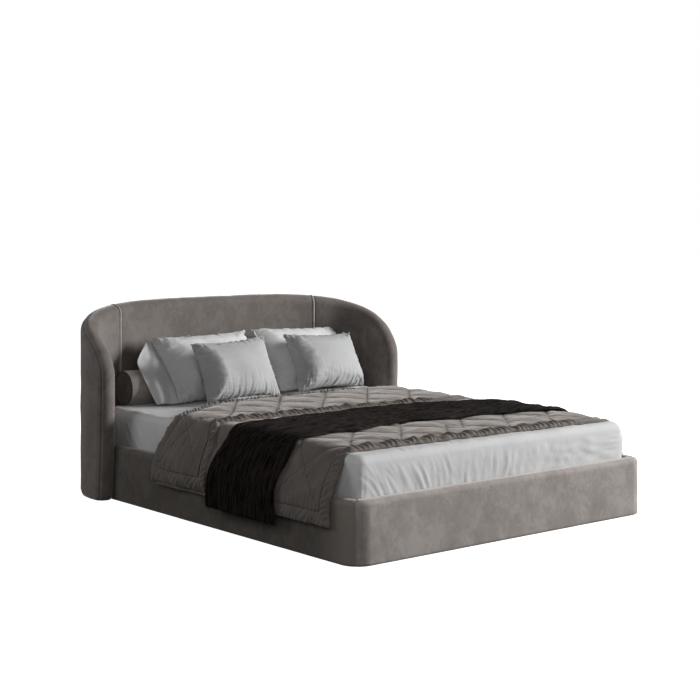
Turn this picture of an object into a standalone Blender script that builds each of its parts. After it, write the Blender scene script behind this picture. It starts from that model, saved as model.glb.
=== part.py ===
"""Upholstered platform bed with a curved winged headboard and its bedding.

Metres, +Z up, floor at Z = 0. +X is to the right seen from the foot, +Y runs from the foot to the head.
Shapes are laid out from the foot face at y = 0; `add_solid` centres them on the overall length.
"""

from math import cos, pi, radians, sin

import bmesh
import bpy
import numpy as np
from mathutils import Matrix, Vector

# Gap left between two pieces that touch on the real bed
GAP = 0.0003

# Base
BASE_WIDTH = 1.770
RAIL_WIDTH = 0.068
RAIL_TOP = 0.265
BASE_BOTTOM = 0.004
PLAN_RADIUS = 0.090
RAIL_EDGE_RADIUS = 0.024
COVER_THICKNESS = 0.040
CORE_THICKNESS = 0.024
RAIL_END = 1.858
CORE_END = 1.970
HEAD_RAIL_Y = 2.020

# Mattress, 1.6 x 2.0 m
MATTRESS = (1.600, 2.000, 0.208)
MATTRESS_FOOT = 0.078
MATTRESS_BOTTOM = 0.216
MATTRESS_TOP = MATTRESS_BOTTOM + MATTRESS[2]
MATTRESS_PLAN_RADIUS = 0.070
MATTRESS_EDGE_RADIUS = 0.035
SHEET_THICKNESS = 0.0012

# Slatted deck
SLAT_THICKNESS = 0.020
SLAT_TOP = MATTRESS_BOTTOM - GAP
SLAT_WIDTH = 0.095
SLAT_COUNT = 9
BEAM_WIDTH = 0.050
LEG_RADIUS = 0.020

# Headboard: a shell of even thickness whose middle surface follows a curved plan line
HEAD_HALF = 0.920
HEAD_WING_Y = 1.945
HEAD_DEPTH = 0.398
HEAD_PLAN_POWER = 2.42
SHELL = 0.048
HEAD_TOP = 0.898
WING_KNEE = 0.614
WING_REACH = 0.060
WING_SETBACK = 0.025
EDGE_POWER_S = 4.56
EDGE_POWER_Z = 1.50
SEAM_S = 0.659
HEAD_BOTTOM = 0.006
WELT_HALF = 0.0030
PAD_BACK = -0.0115
COVER_FRONT = 0.0125
CORE_HALF = 0.0105
SEAM_ANGLE = 140.0

LENGTH = HEAD_WING_Y + HEAD_DEPTH + SHELL

# Bedding layers over the mattress and the rails
QUILT = 0.022
THROW = 0.008
HEM_HEIGHT = 0.150
THROW_HEM = 0.112

MATERIALS = {
    "velvet": ((0.200, 0.180, 0.165), 0.85, 0.0),
    "velvet_dark": ((0.090, 0.075, 0.068), 0.85, 0.0),
    "welt": ((0.330, 0.310, 0.290), 0.70, 0.0),
    "linen": ((0.560, 0.570, 0.580), 0.90, 0.0),
    "quilt": ((0.290, 0.265, 0.245), 0.90, 0.0),
    "throw": ((0.020, 0.016, 0.014), 0.95, 0.0),
    "ply": ((0.520, 0.380, 0.230), 0.60, 0.0),
    "beech": ((0.640, 0.470, 0.290), 0.50, 0.0),
    "ticking": ((0.620, 0.610, 0.590), 0.90, 0.0),
    "steel": ((0.120, 0.120, 0.125), 0.45, 0.9),
    "plastic": ((0.030, 0.030, 0.032), 0.50, 0.0),
    "felt": ((0.080, 0.075, 0.070), 1.00, 0.0),
}


def clear_scene():
    for obj in list(bpy.data.objects):
        bpy.data.objects.remove(obj, do_unlink=True)


def node_material(name, kind):
    colour, roughness, metallic = MATERIALS[kind]
    mat = bpy.data.materials.new(name + "_" + kind)
    mat.use_nodes = True
    shader = mat.node_tree.nodes["Principled BSDF"]
    shader.inputs["Base Color"].default_value = (*colour, 1.0)
    shader.inputs["Roughness"].default_value = roughness
    shader.inputs["Metallic"].default_value = metallic
    mat.diffuse_color = (*colour, 1.0)
    return mat


def add_solid(name, kind, verts, faces, smooth=True):
    """One object from points laid out from the foot face; faces are turned outward."""
    mesh = bpy.data.meshes.new(name)
    shifted = [(x, y - LENGTH / 2, z) for x, y, z in verts]
    mesh.from_pydata(shifted, [], faces)
    bm = bmesh.new()
    bm.from_mesh(mesh)
    bmesh.ops.remove_doubles(bm, verts=bm.verts, dist=1e-6)
    bmesh.ops.dissolve_degenerate(bm, edges=bm.edges, dist=1e-6)
    bmesh.ops.recalc_face_normals(bm, faces=bm.faces)
    bm.to_mesh(mesh)
    bm.free()
    if smooth:
        mesh.polygons.foreach_set("use_smooth", [True] * len(mesh.polygons))
    obj = bpy.data.objects.new(name, mesh)
    obj.data.materials.append(node_material(name, kind))
    bpy.context.scene.collection.objects.link(obj)
    return obj


def loft(rings, closed=False):
    """Points and faces of the skin over equal-length rings, capped at both ends unless the loft is closed."""
    count = len(rings[0])
    verts = [tuple(point) for ring in rings for point in ring]
    faces = []
    pairs = len(rings) if closed else len(rings) - 1
    for i in range(pairs):
        a, b = i * count, ((i + 1) % len(rings)) * count
        for j in range(count):
            k = (j + 1) % count
            faces.append((a + j, a + k, b + k, b + j))
    if not closed:
        faces.append(tuple(reversed(range(count))))
        faces.append(tuple(range((len(rings) - 1) * count, len(rings) * count)))
    return verts, faces


def box(x0, x1, y0, y1, z0, z1):
    ring = [(x0, y0), (x1, y0), (x1, y1), (x0, y1)]
    return loft([[(x, y, z) for x, y in ring] for z in (z0, z1)])


def cylinder(x, y, z0, z1, radius, count=20):
    ring = [(radius * cos(2 * pi * i / count), radius * sin(2 * pi * i / count)) for i in range(count)]
    return loft([[(x + a, y + b, z) for a, b in ring] for z in (z0, z1)])


def rounded_plan(half_x, y0, y1, radius, steps=5):
    """Points of a rectangle with rounded corners, counter-clockwise seen from above."""
    corners = [(half_x, y0, -90), (half_x, y1, 0), (-half_x, y1, 90), (-half_x, y0, 180)]
    points = []
    for x, y, start in corners:
        cx = x - radius if x > 0 else x + radius
        cy = y + radius if y == y0 else y - radius
        for i in range(steps + 1):
            angle = radians(start + 90 * i / steps)
            points.append((cx + radius * cos(angle), cy + radius * sin(angle)))
    return points


# ---------------------------------------------------------------- headboard


def plan_line():
    """Middle line of the right half of the shell in plan, with arc length and outward normals."""
    turn = np.linspace(0.0, pi / 2, 500)
    power = 2.0 / HEAD_PLAN_POWER
    x = HEAD_HALF * np.sin(turn) ** power
    y = HEAD_WING_Y + HEAD_DEPTH * np.clip(np.cos(turn), 0.0, None) ** power
    straight = np.linspace(HEAD_WING_Y, HEAD_WING_Y - 0.3, 120)[1:]
    x = np.concatenate([x, np.full(len(straight), HEAD_HALF)])
    y = np.concatenate([y, straight])
    s = np.concatenate([[0.0], np.cumsum(np.hypot(np.diff(x), np.diff(y)))])
    even = np.linspace(0.0, s[-1], 600)
    x, y = np.interp(even, s, x), np.interp(even, s, y)
    tx, ty = np.gradient(x, even), np.gradient(y, even)
    size = np.hypot(tx, ty)
    return even, x, y, -ty / size, tx / size


PLAN_S, PLAN_X, PLAN_Y, PLAN_NX, PLAN_NY = plan_line()
WING_S = float(np.interp(-HEAD_WING_Y, -PLAN_Y, PLAN_S)) + WING_REACH


def shell_point(s, z, n):
    """Point at arc length s from the centre (negative to the left), height z and outward offset n."""
    side = -1.0 if s < 0 else 1.0
    a = abs(s)
    x = np.interp(a, PLAN_S, PLAN_X) + n * np.interp(a, PLAN_S, PLAN_NX)
    y = np.interp(a, PLAN_S, PLAN_Y) + n * np.interp(a, PLAN_S, PLAN_NY)
    return (side * float(x), float(y), float(z))


def edge_curve(count=400):
    """Right half of the shell's top and front edge, as (s, z) from the centre to the wing's bottom."""
    turn = np.linspace(0.0, pi / 2, count)
    s = WING_S * np.sin(turn) ** (2 / EDGE_POWER_S)
    z = WING_KNEE + (HEAD_TOP - WING_KNEE) * np.clip(np.cos(turn), 0, None) ** (2 / EDGE_POWER_Z)
    low = np.linspace(WING_KNEE, HEAD_BOTTOM, 120)[1:]
    s = np.concatenate([s, WING_S - WING_SETBACK * ((WING_KNEE - low) / WING_KNEE) ** 2])
    return s, np.concatenate([z, low])


EDGE_S, EDGE_Z = edge_curve()


def wing_stations(start, count):
    """Evenly spaced edge points from arc position `start` on, with their outward direction in the shell."""
    length = np.concatenate([[0.0], np.cumsum(np.hypot(np.diff(EDGE_S), np.diff(EDGE_Z)))])
    first = np.interp(start, EDGE_S[:380], length[:380])
    along = np.linspace(first, length[-1], count)
    s, z = np.interp(along, length, EDGE_S), np.interp(along, length, EDGE_Z)
    ds = np.interp(along + 1e-3, length, EDGE_S) - np.interp(along - 1e-3, length, EDGE_S)
    dz = np.interp(along + 1e-3, length, EDGE_Z) - np.interp(along - 1e-3, length, EDGE_Z)
    size = np.hypot(ds, dz)
    out_s, out_z = -dz / size, ds / size
    out_s[0], out_z[0] = 0.0, 1.0
    out_s[-1], out_z[-1] = 1.0, 0.0
    return list(zip(s, z, out_s, out_z))


def profile(layer):
    """Section of one layer of the shell as (w, across, outward): `w` runs from the bottom up to the edge."""
    lengths = np.linspace(0.0, 1.0, 6)
    if layer == "pad":
        arc = np.radians(np.linspace(0.0, SEAM_ANGLE, 7))[1:]
        rows = [(w, -SHELL, 0.0) for w in lengths]
        rows += [(1.0, -SHELL * cos(a), SHELL * sin(a)) for a in arc]
        rows += [(1.0, COVER_FRONT - 0.001, 0.001)]
        rows += [(w, PAD_BACK, 0.001 if w == 1.0 else 0.0) for w in lengths[::-1]]
    elif layer == "cover":
        arc = np.radians(np.linspace(180.0, SEAM_ANGLE + 1.0, 4))[1:]
        rows = [(w, SHELL, 0.0) for w in lengths]
        rows += [(1.0, -SHELL * cos(a), SHELL * sin(a)) for a in arc]
        rows += [(w, COVER_FRONT, 0.0) for w in lengths[::-1]]
    elif layer == "core":
        rows = [(w, CORE_HALF, -0.004) for w in lengths]
        rows += [(w, -CORE_HALF, -0.004) for w in lengths[::-1]]
    else:
        arc = np.radians(np.linspace(0.0, SEAM_ANGLE - 4.0, 12))[1:]
        rows = [(w, -SHELL - 0.0015, 0.0) for w in lengths]
        rows += [(1.0, -(SHELL + 0.0015) * cos(a), (SHELL + 0.0015) * sin(a)) for a in arc]
        rows += [(1.0, -(SHELL - 0.010) * cos(a), (SHELL - 0.010) * sin(a)) for a in arc[::-1]]
        rows += [(w, -SHELL + 0.010, 0.0) for w in lengths[::-1]]
    return rows


def centre_panel(name, kind, layer, s0, s1, columns):
    rings = []
    for s in np.linspace(s0, s1, columns):
        top = float(np.interp(abs(s), EDGE_S[:399], EDGE_Z[:399]))
        ring = []
        for w, across, outward in profile(layer):
            z = HEAD_BOTTOM + w * (top - HEAD_BOTTOM) + outward * (w == 1.0 or outward >= 0.0)
            ring.append(shell_point(s, z, across))
        rings.append(ring)
    verts, faces = loft(rings)
    add_solid(name, kind, verts, faces)


def wing_panel(name, kind, layer, side, count=22):
    """Wing layer: sections fan round the lower inner corner and end at the shell's edge."""
    start = SEAM_S + WELT_HALF + GAP
    rings = []
    for s, z, out_s, out_z in wing_stations(start, count):
        ring = []
        for w, across, outward in profile(layer):
            edge = outward if w == 1.0 else 0.0
            point_s = start + w * (s - start) + edge * out_s
            point_z = HEAD_BOTTOM + w * (z - HEAD_BOTTOM) + edge * out_z
            ring.append(shell_point(side * point_s, point_z, across))
        rings.append(ring)
    verts, faces = loft(rings)
    add_solid(name, kind, verts, faces)


def headboard():
    inner = SEAM_S - WELT_HALF - GAP
    for layer, kind, title in (
        ("core", "ply", "headboard_core"),
        ("pad", "velvet", "headboard_pad"),
        ("cover", "velvet", "headboard_cover"),
    ):
        centre_panel(title + "_centre", kind, layer, -inner, inner, 18)
        for side, word in ((-1, "left"), (1, "right")):
            wing_panel(title + "_" + word, kind, layer, side)
    for side, word in ((-1, "left"), (1, "right")):
        ends = sorted((side * (SEAM_S - WELT_HALF), side * (SEAM_S + WELT_HALF)))
        centre_panel("seam_welt_" + word, "welt", "welt", ends[0], ends[1], 2)
    for s, word in ((-0.95, "left"), (0.0, "middle"), (0.95, "right")):
        x, y, _ = shell_point(s, 0.0, 0.0)
        glide = cylinder(x, y, 0.0, HEAD_BOTTOM - GAP, 0.016)
        add_solid("headboard_glide_" + word, "felt", *glide, smooth=False)


# --------------------------------------------------------------------- base


def rail_section():
    """Inverted-U section of a padded rail cover: (offset inward from the outer face, height)."""
    r, t = RAIL_EDGE_RADIUS, COVER_THICKNESS
    inner_wall = RAIL_WIDTH - t - CORE_THICKNESS - 2 * GAP
    turn = np.radians(np.linspace(0.0, 90.0, 6))
    points = [(0.0, BASE_BOTTOM)]
    points += [(r - r * cos(a), RAIL_TOP - r + r * sin(a)) for a in turn]
    points += [(RAIL_WIDTH - r + r * sin(a), RAIL_TOP - r + r * cos(a)) for a in turn]
    points += [(RAIL_WIDTH, 0.060), (RAIL_WIDTH - inner_wall, 0.060)]
    points += [(RAIL_WIDTH - inner_wall, RAIL_TOP - t), (t, RAIL_TOP - t), (t, BASE_BOTTOM)]
    return points


def rail_cover(name, kind, plan):
    """Cover swept along plan points (x, y, inward x, inward y)."""
    section = rail_section()
    rings = [[(x + a * ix, y + a * iy, z) for a, z in section] for x, y, ix, iy in plan]
    add_solid(name, kind, *loft(rings))


def corner_plan(side, first, last, steps=4):
    """Plan points round a foot corner between two angles measured from the side face."""
    cx, cy = side * (BASE_WIDTH / 2 - PLAN_RADIUS), PLAN_RADIUS
    points = []
    for i in range(steps + 1):
        a = radians(first + (last - first) * i / steps)
        ix, iy = -side * cos(a), sin(a)
        points.append((cx - PLAN_RADIUS * ix, cy - PLAN_RADIUS * iy, ix, iy))
    return points


def base():
    half = BASE_WIDTH / 2
    seam = 2.2
    for side, word in ((-1, "left"), (1, "right")):
        plan = [(side * half, RAIL_END, -side, 0.0), (side * half, 1.0, -side, 0.0)]
        rail_cover("rail_cover_" + word, "velvet", plan + corner_plan(side, 0.0, 45.0 - seam))
        rail_cover("corner_welt_" + word, "welt", corner_plan(side, 45 - seam + 0.2, 45 + seam - 0.2, 2))
    left = corner_plan(-1, 45.0 + seam, 90.0)
    right = corner_plan(1, 90.0, 45.0 + seam)
    rail_cover("rail_cover_foot", "velvet", left + right)

    outer = half - COVER_THICKNESS - GAP
    inner = outer - CORE_THICKNESS
    low, high = 0.012, RAIL_TOP - COVER_THICKNESS - GAP
    for side, word in ((-1, "left"), (1, "right")):
        x0, x1 = sorted((side * inner, side * outer))
        core = box(x0, x1, PLAN_RADIUS + GAP, CORE_END, low, high)
        add_solid("rail_core_" + word, "ply", *core, smooth=False)
    front = COVER_THICKNESS + GAP
    span = half - PLAN_RADIUS - GAP
    add_solid(
        "rail_core_foot", "ply", *box(-span, span, front, front + CORE_THICKNESS, low, high), smooth=False
    )
    for side, word in ((-1, "left"), (1, "right")):
        reach = PLAN_RADIUS - COVER_THICKNESS - GAP
        rings = []
        for i in range(7):
            a = radians(1.0 + 88.0 * i / 6)
            cx, cy = side * (half - PLAN_RADIUS), PLAN_RADIUS
            dx, dy = side * cos(a), -sin(a)
            near, far = reach - CORE_THICKNESS, reach - 0.0006
            section = ((far, low), (far, high), (near, high), (near, low))
            rings.append([(cx + r * dx, cy + r * dy, z) for r, z in section])
        add_solid("corner_block_" + word, "beech", *loft(rings))


def deck():
    half = BASE_WIDTH / 2
    wall = half - RAIL_WIDTH
    ledger_top = SLAT_TOP - SLAT_THICKNESS - GAP
    ledger_low = ledger_top - 0.040
    inner = wall - 0.026
    for side, word in ((-1, "left"), (1, "right")):
        x0, x1 = sorted((side * inner, side * (wall - GAP)))
        add_solid("ledger_" + word, "beech", *box(x0, x1, 0.105, 2.045, ledger_low, ledger_top), smooth=False)
    y0, y1 = HEAD_RAIL_Y, HEAD_RAIL_Y + 0.025
    rail = box(-inner + GAP, inner - GAP, y0, y1, 0.012, ledger_top)
    add_solid("head_cross_rail", "ply", *rail, smooth=False)
    y0, y1 = RAIL_WIDTH + GAP, RAIL_WIDTH + 0.026
    add_solid("foot_ledger", "beech", *box(-0.700, 0.700, y0, y1, ledger_low, ledger_top), smooth=False)
    beam_low = ledger_top - 0.050
    b = BEAM_WIDTH / 2
    beam = box(-b, b, y1 + GAP, HEAD_RAIL_Y - GAP, beam_low, ledger_top)
    add_solid("centre_beam", "steel", *beam, smooth=False)
    for y, title in ((0.650, "foot"), (1.450, "head")):
        add_solid("centre_leg_" + title, "steel", *cylinder(0.0, y, 0.022, beam_low - GAP, LEG_RADIUS))
        add_solid("leg_glide_" + title, "plastic", *cylinder(0.0, y, 0.0, 0.022 - GAP, 0.026))
    for index, y in enumerate(np.linspace(0.150, 1.985, SLAT_COUNT)):
        y0, y1 = y - SLAT_WIDTH / 2, y + SLAT_WIDTH / 2
        slat = box(-wall + 0.002, wall - 0.002, y0, y1, SLAT_TOP - SLAT_THICKNESS, SLAT_TOP)
        add_solid(f"slat_{index + 1}", "beech", *slat, smooth=False)
    for side, word in ((-1, "left"), (1, "right")):
        for y, end in ((0.200, "foot"), (1.750, "head")):
            glide = cylinder(side * (half - COVER_THICKNESS / 2), y, 0.0, BASE_BOTTOM - GAP, 0.012)
            add_solid(f"base_glide_{end}_{word}", "felt", *glide, smooth=False)


def inner_back(x):
    """y of the headboard's padded inner face above a point of the floor line at x."""
    faces = PLAN_X[:400] - SHELL * PLAN_NX[:400]
    s = float(np.interp(abs(x), faces, PLAN_S[:400]))
    return shell_point(s, 0.0, -SHELL)[1]


def head_brackets():
    """Spacer blocks that carry the headboard on the head cross rail."""
    for side, word in ((-1, "left"), (1, "right")):
        rings = []
        for x in np.linspace(0.420, 0.640, 9):
            back = inner_back(x) - 0.0025
            y0 = HEAD_RAIL_Y + 0.025 + GAP
            section = ((y0, 0.05), (back, 0.05), (back, 0.212), (y0, 0.212))
            rings.append([(side * x, y, z) for y, z in section])
        add_solid("head_bracket_" + word, "beech", *loft(rings))


def head_filler():
    """Padded infill between the mattress end and the curved inside of the headboard."""
    y0 = MATTRESS_FOOT + MATTRESS[1] + 0.006
    rings = []
    for x in np.linspace(-0.700, 0.700, 25):
        back = inner_back(x) - 0.0025
        section = ((y0, 0.2123), (back, 0.2123), (back, 0.405), (back - 0.02, 0.418), (y0, 0.418))
        rings.append([(x, y, z) for y, z in section])
    add_solid("head_filler", "velvet", *loft(rings))


# ------------------------------------------------------------------ bedding


def block_rings(grow, bottom):
    """Rings of the mattress block, grown outward by `grow`, from its bottom to its top face."""
    half = MATTRESS[0] / 2 + grow
    y0, y1 = MATTRESS_FOOT - grow, MATTRESS_FOOT + MATTRESS[1] + grow
    r = MATTRESS_EDGE_RADIUS + grow
    top = MATTRESS_TOP + grow
    rings = [[(x, y, bottom) for x, y in rounded_plan(half, y0, y1, MATTRESS_PLAN_RADIUS + grow)]]
    for i in range(6):
        a = radians(90.0 * i / 5)
        inset = r - r * cos(a)
        plan = rounded_plan(half - inset, y0 + inset, y1 - inset, MATTRESS_PLAN_RADIUS + grow - inset)
        rings.append([(x, y, top - r + r * sin(a)) for x, y in plan])
    return rings


def mattress():
    add_solid("mattress", "ticking", *loft(block_rings(0.0, MATTRESS_BOTTOM)))
    outer = block_rings(GAP + SHEET_THICKNESS, MATTRESS_BOTTOM + 0.012)
    inner = block_rings(GAP, MATTRESS_BOTTOM + 0.012)
    add_solid("fitted_sheet", "linen", *loft(inner[::-1] + outer))


def cushion(name, kind, width, height, thick, foot, turn, lean, pinch=0.045, cells=10):
    """Crowned pillow leaning back on its lower edge, whose middle is `foot`; its edges are drawn in."""
    grid = np.linspace(-1.0, 1.0, cells + 1)
    grid = np.sin(grid * pi / 2 * 0.92) / sin(pi / 2 * 0.92)
    verts, faces = [], []
    frame = Matrix.Rotation(radians(turn), 4, "Z") @ Matrix.Rotation(radians(-lean), 4, "X")
    for face in (1, -1):
        for v in grid:
            for u in grid:
                crown = ((1 - u * u) * (1 - v * v)) ** 0.42
                x = u * width / 2 * (1 - pinch * (1 - v * v))
                z = v * height / 2 * (1 - pinch * (1 - u * u))
                y = -face * (0.003 + (thick / 2 - 0.003) * crown)
                point = frame @ Vector((x, y, z + height / 2)) + Vector(foot)
                verts.append(tuple(point))
    n = cells + 1
    for face in (0, 1):
        for j in range(cells):
            for i in range(cells):
                a = face * n * n + j * n + i
                faces.append((a, a + 1, a + n + 1, a + n))
    rim = [i for i in range(cells)] + [cells + j * n for j in range(cells)]
    rim += [n * n - 1 - i for i in range(cells)] + [(cells - j) * n for j in range(cells)]
    for k, a in enumerate(rim):
        b = rim[(k + 1) % len(rim)]
        faces.append((a, b, b + n * n, a + n * n))
    add_solid(name, kind, verts, faces)


def bolster():
    """Round roll along X with softly rounded end discs."""
    radius, y, z = 0.086, 2.082, MATTRESS_TOP + 0.090
    x0, x1 = -0.706, -0.500
    ends = [(x0, 0.80), (x0 + 0.004, 0.93), (x0 + 0.014, 1.0)]
    stations = ends + [(x0 + x1 - x, scale) for x, scale in ends[::-1]]
    rings = []
    for x, scale in stations:
        r = radius * scale
        rings.append([(x, y + r * cos(2 * pi * i / 20), z + r * sin(2 * pi * i / 20)) for i in range(20)])
    add_solid("bolster", "velvet_dark", *loft(rings))


def drape_line(offset, hem):
    """Half section of a cover draped over the bed, from the hem on the right side up to the middle."""
    side = BASE_WIDTH / 2 + 0.006 + offset
    top = MATTRESS_TOP + 0.004 + offset
    shoulder = MATTRESS[0] / 2 + 0.006 + offset
    r = MATTRESS_EDGE_RADIUS + 0.010 + offset
    line = [(side, hem), (side, 0.200), (side - 0.001, RAIL_TOP - 0.010), (side - 0.014, RAIL_TOP + 0.035)]
    for i in range(6):
        a = radians(18 + 72 * i / 5)
        line.append((shoulder - r + r * cos(a), top - r + r * sin(a)))
    return line + [(0.40, top), (0.0, top)]


def draped(name, kind, offset, thick, hem, y0, y1):
    """Closed sheet between two offsets of the draped section, straight along Y from y0 to y1."""
    low, high = drape_line(offset, hem), drape_line(offset + thick, hem)
    ring = high + [(-x, z) for x, z in high[-2::-1]]
    ring += [(-x, z) for x, z in low[:-1]] + low[::-1]
    add_solid(name, kind, *loft([[(x, y, z) for x, z in ring] for y in (y0, y1)]))


def bedding():
    mattress()
    draped("quilt_lower", "quilt", 0.0, QUILT, HEM_HEIGHT, 0.140, 1.580)
    draped("quilt_turnback", "quilt", QUILT + GAP, QUILT, HEM_HEIGHT + 0.010, 1.060, 1.578)
    draped("throw", "throw", QUILT + GAP, THROW, THROW_HEM, 0.470, 0.990)
    rest = MATTRESS_TOP + 0.016
    cushion("pillow_back_left", "linen", 0.63, 0.40, 0.120, (-0.148, 1.926, rest), 4.6, 35.0)
    cushion("pillow_back_right", "linen", 0.58, 0.40, 0.110, (0.430, 1.914, rest), 4.1, 33.0)
    cushion("cushion_front_left", "linen", 0.49, 0.34, 0.110, (-0.170, 1.770, rest), 4.0, 26.0)
    cushion("cushion_front_right", "linen", 0.51, 0.33, 0.100, (0.488, 1.822, rest), 7.0, 26.0)
    bolster()


clear_scene()
headboard()
base()
deck()
head_brackets()
head_filler()
bedding()
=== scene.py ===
"""Looks of the upholstered winged bed: velvet shell and rails, mattress, and the bedding on it.

Metres, +Z up. Shapes are laid out from the foot face at y = 0, and `piece` moves them into the frame.
"""

from math import cos, pi, radians, sin

import bmesh
import bpy
import numpy as np
from mathutils import Matrix, Vector


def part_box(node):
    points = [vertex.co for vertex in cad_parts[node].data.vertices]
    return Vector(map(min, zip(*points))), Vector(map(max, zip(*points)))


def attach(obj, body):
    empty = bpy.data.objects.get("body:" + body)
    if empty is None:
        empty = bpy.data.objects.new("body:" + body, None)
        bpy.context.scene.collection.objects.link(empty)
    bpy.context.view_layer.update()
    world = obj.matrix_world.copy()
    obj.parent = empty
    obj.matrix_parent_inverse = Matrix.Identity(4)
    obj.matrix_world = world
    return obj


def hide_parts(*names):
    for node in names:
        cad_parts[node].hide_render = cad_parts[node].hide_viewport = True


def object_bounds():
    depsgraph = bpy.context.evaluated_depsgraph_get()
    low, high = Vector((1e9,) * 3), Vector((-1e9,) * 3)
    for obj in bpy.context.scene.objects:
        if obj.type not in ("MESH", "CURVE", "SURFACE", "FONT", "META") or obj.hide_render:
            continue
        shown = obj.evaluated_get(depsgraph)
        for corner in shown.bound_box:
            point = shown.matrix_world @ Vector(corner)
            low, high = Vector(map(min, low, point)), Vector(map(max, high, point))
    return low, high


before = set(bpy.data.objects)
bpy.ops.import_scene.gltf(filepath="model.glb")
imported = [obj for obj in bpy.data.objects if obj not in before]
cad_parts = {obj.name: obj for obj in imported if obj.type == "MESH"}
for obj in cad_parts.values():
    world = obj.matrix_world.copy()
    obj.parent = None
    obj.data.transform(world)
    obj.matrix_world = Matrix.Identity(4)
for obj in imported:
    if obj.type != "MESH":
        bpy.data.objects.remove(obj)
CAD_LOW, CAD_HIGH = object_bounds()
FOOT = CAD_LOW.y
MATTRESS_LOW, MATTRESS_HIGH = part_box("mattress")
MATTRESS_TOP = MATTRESS_HIGH.z
MATTRESS_HALF = MATTRESS_HIGH.x
MATTRESS_FOOT = MATTRESS_LOW.y - FOOT
MATTRESS_HEAD = MATTRESS_HIGH.y - FOOT

BASE_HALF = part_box("rail_cover_right")[1].x
RAIL_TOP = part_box("rail_cover_foot")[1].z
RAIL_WIDTH = 0.068
RAIL_EDGE_RADIUS = 0.024
BASE_BOTTOM = 0.0008
PLAN_RADIUS = 0.090
RAIL_END = 1.905
RAIL_PULL = 0.0035

HEAD_HALF = 0.920
HEAD_WING_Y = 1.945
HEAD_DEPTH = 0.398
HEAD_PLAN_POWER = 2.42
SHELL = 0.048
HEAD_TOP = 0.898
WING_KNEE = 0.614
WING_REACH = 0.060
WING_SETBACK = 0.025
EDGE_POWER_S = 4.56
EDGE_POWER_Z = 1.50
SEAM_S = 0.659
HEAD_BOTTOM = 0.0015
SEAM_ANGLE = 140.0
SEAM_PULL = 0.0085
SEAM_GAP = 0.0012
NEAR_SEAM = 0.05
WELT_HALF = 0.0075
CORE_SIDE = 0.011

THROW_HEM = 0.112
RIBS = 34
QUILT_HEM = 0.150
HEM_BAND = 0.060
HANG = 0.30
CELL_HEIGHT = 0.206

LENS = 78.80
SHIFT_DOWN = -0.2051
EYE_X, EYE_Y, EYE_HEIGHT = -4.747, -4.696, 1.4414
VIEW_TURN = -39.26

SWELL = 0.010
CLOTH = {
    "quality": 5,
    "mass": 0.15,
    "tension_stiffness": 20,
    "compression_stiffness": 10,
    "shear_stiffness": 5,
    "bending_stiffness": 0.10,
    "use_pressure": True,
    "uniform_pressure_force": 3.5,
}


# --- noise and mesh


def waves(seed, scale, *coords):
    """Smooth noise from -1 to 1 at points given by coordinate arrays; `scale` is its usual wavelength."""
    rng = np.random.default_rng(seed)
    total = 0.0
    for _ in range(9):
        turn = rng.normal(size=len(coords))
        turn *= rng.uniform(0.6, 1.5) / np.linalg.norm(turn)
        phase = rng.uniform(0, 2 * pi)
        total = total + np.sin(sum(k * c for k, c in zip(turn, coords)) * 2 * pi / scale + phase)
    return total / 4.2


def smooth_step(value, low, high):
    t = np.clip((value - low) / (high - low), 0.0, 1.0)
    return t * t * (3 - 2 * t)


def run_length(*coords):
    """Distance along a line of points at each of them."""
    return np.concatenate([[0.0], np.cumsum(np.sqrt(sum(np.diff(c) ** 2 for c in coords)))])


def smoothed(values, window):
    """Running average under a bell, with both ends carried on straight."""
    bell = np.hanning(window)
    return np.convolve(np.pad(values, window // 2, "reflect", reflect_type="odd"), bell / bell.sum(), "valid")


def add_object(name, data):
    obj = bpy.data.objects.new(name, data)
    bpy.context.scene.collection.objects.link(obj)
    return obj


def new_mesh(name, points, faces, pattern=None):
    """Mesh with doubled points merged and normals outward; `pattern` holds three numbers a point."""
    mesh = bpy.data.meshes.new(name)
    mesh.from_pydata(points.tolist(), [], faces)
    if pattern is not None:
        layer = mesh.attributes.new("pattern", "FLOAT_VECTOR", "POINT")
        layer.data.foreach_set("vector", np.asarray(pattern, np.float32).reshape(-1))
    bm = bmesh.new()
    bm.from_mesh(mesh)
    bmesh.ops.remove_doubles(bm, verts=bm.verts, dist=1e-6)
    bmesh.ops.recalc_face_normals(bm, faces=bm.faces)
    bm.to_mesh(mesh)
    bm.free()
    return mesh


def piece(name, points, faces, mat, nodes=(), pattern=None):
    """A shown piece, from points laid out from the foot face, that stands for the CAD nodes in `nodes`."""
    mesh = new_mesh(name, np.asarray(points, float).reshape(-1, 3) + (0.0, FOOT, 0.0), faces, pattern)
    mesh.polygons.foreach_set("use_smooth", [True] * len(mesh.polygons))
    obj = add_object(name, mesh)
    mesh.materials.append(mat)
    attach(obj, "root")
    if nodes:
        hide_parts(*nodes)
    return obj


def skin(name, rings, mat, nodes=()):
    """A closed piece over rings of points, capped at both ends."""
    rings = np.asarray(rings, float)
    count, columns = rings.shape[:2]
    faces = grid_faces(count, columns, wrap=True)
    faces += [list(range(columns))[::-1], list(range((count - 1) * columns, count * columns))]
    return piece(name, rings, faces, mat, nodes)


def grid_faces(rows, columns, wrap=False, start=0):
    """Quads over a rows x columns array of points; `wrap` joins the last column to the first."""
    r = np.arange(rows - 1)[:, None]
    c = np.arange(columns if wrap else columns - 1)[None, :]
    k = (c + 1) % columns
    quads = np.stack([r * columns + c, r * columns + k, (r + 1) * columns + k, (r + 1) * columns + c], -1)
    return (quads.reshape(-1, 4) + start).tolist()


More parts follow.
